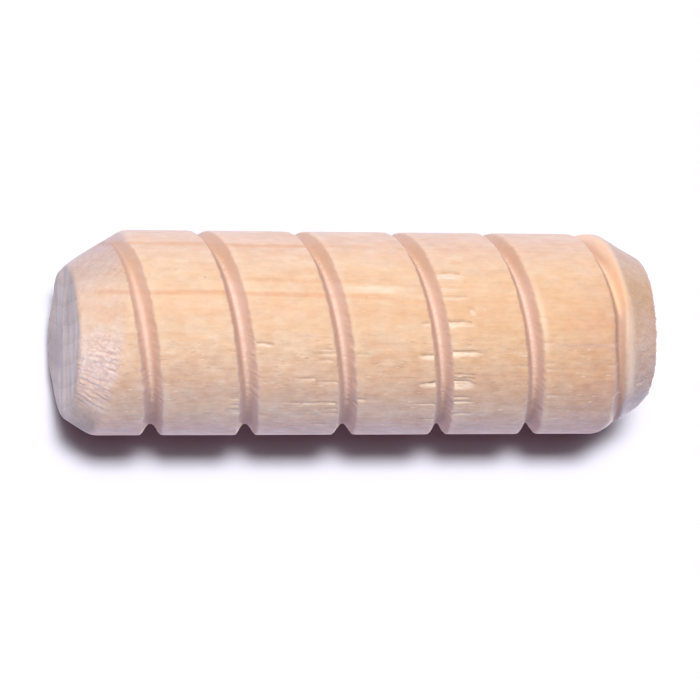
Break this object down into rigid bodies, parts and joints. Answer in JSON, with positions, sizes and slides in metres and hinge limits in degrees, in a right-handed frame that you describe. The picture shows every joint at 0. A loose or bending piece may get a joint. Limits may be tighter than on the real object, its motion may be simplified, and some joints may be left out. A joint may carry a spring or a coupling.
{
  "type": "dowel pin",
  "caption": "Hardwood dowel pin with a V groove wound round it in a right-hand spiral and a blunt cone at each end, for glued wood joints.",
  "frame": {"origin": "middle of the pin's box at the lower end face, on the rod's axis", "axes": "+Z along the rod's axis, up from the lower end face; +X to the side that the lower cone was cut off-centre towards"},
  "size_m": [0.0126, 0.0126, 0.037],
  "materials": {
    "hardwood": "bare pale birch, planed along the grain, fibres torn beside the groove, rough-cut ends"
  },
  "bodies": {
    "root": {"dowel_pin": "hardwood"}
  },
  "joints": []
}
